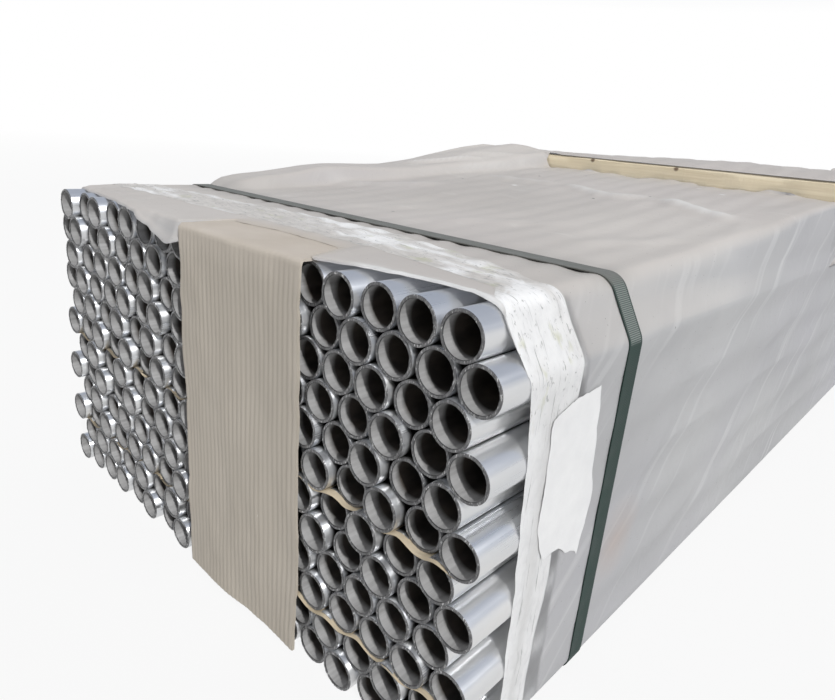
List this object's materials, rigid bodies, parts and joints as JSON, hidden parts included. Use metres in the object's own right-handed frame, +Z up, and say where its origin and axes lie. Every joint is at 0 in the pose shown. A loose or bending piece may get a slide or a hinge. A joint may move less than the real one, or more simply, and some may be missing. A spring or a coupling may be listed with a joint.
{
  "type": "stack of aluminium pipes",
  "caption": "Long strapped bundle of round aluminium pipes in nested rows, wrapped in taped plastic film, with cardboard end guards and timber bearers on top.",
  "frame": {"origin": "on the floor under the middle of the bundle, at the underside of the straps", "axes": "+Y along the pipes, away from the end that the picture shows; +X towards the side with the sheet of paper; +Z up"},
  "size_m": [0.7744, 6.0164, 0.5014],
  "materials": {
    "aluminium_pipe": "mill finish, drawn",
    "hidden_core": "mill finish, drawn",
    "kraft_paper": "matt",
    "milky_film": "satin, wrinkled",
    "clear_tape": "glossy",
    "cardboard": "matt, ribbed",
    "sawn_timber": "rough sawn",
    "green_strap": "embossed, satin",
    "label_paper": "matt"
  },
  "bodies": {
    "root": {"pipe_row_01": "aluminium_pipe", "pipe_row_02": "aluminium_pipe", "pipe_row_03": "aluminium_pipe", "pipe_row_04": "aluminium_pipe", "pipe_row_05": "aluminium_pipe", "pipe_row_06": "aluminium_pipe", "pipe_row_07": "aluminium_pipe", "pipe_row_08": "aluminium_pipe", "pipe_row_09": "aluminium_pipe", "pipe_row_10": "aluminium_pipe", "pipe_row_11": "aluminium_pipe", "pipe_row_12": "aluminium_pipe", "hidden_pipe_core": "hidden_core", "interleaf_paper_06": "kraft_paper", "interleaf_paper_10": "kraft_paper", "wrap_film": "milky_film", "tape_band_near": "clear_tape", "tape_band_far": "clear_tape", "end_board_near": "cardboard", "end_board_far": "cardboard", "top_bearer_near": "sawn_timber", "top_bearer_far": "sawn_timber", "strap_1": "green_strap", "strap_2": "green_strap", "strap_3": "green_strap", "strap_4": "green_strap", "strap_5": "green_strap", "label_sheet": "label_paper"}
  },
  "joints": []
}
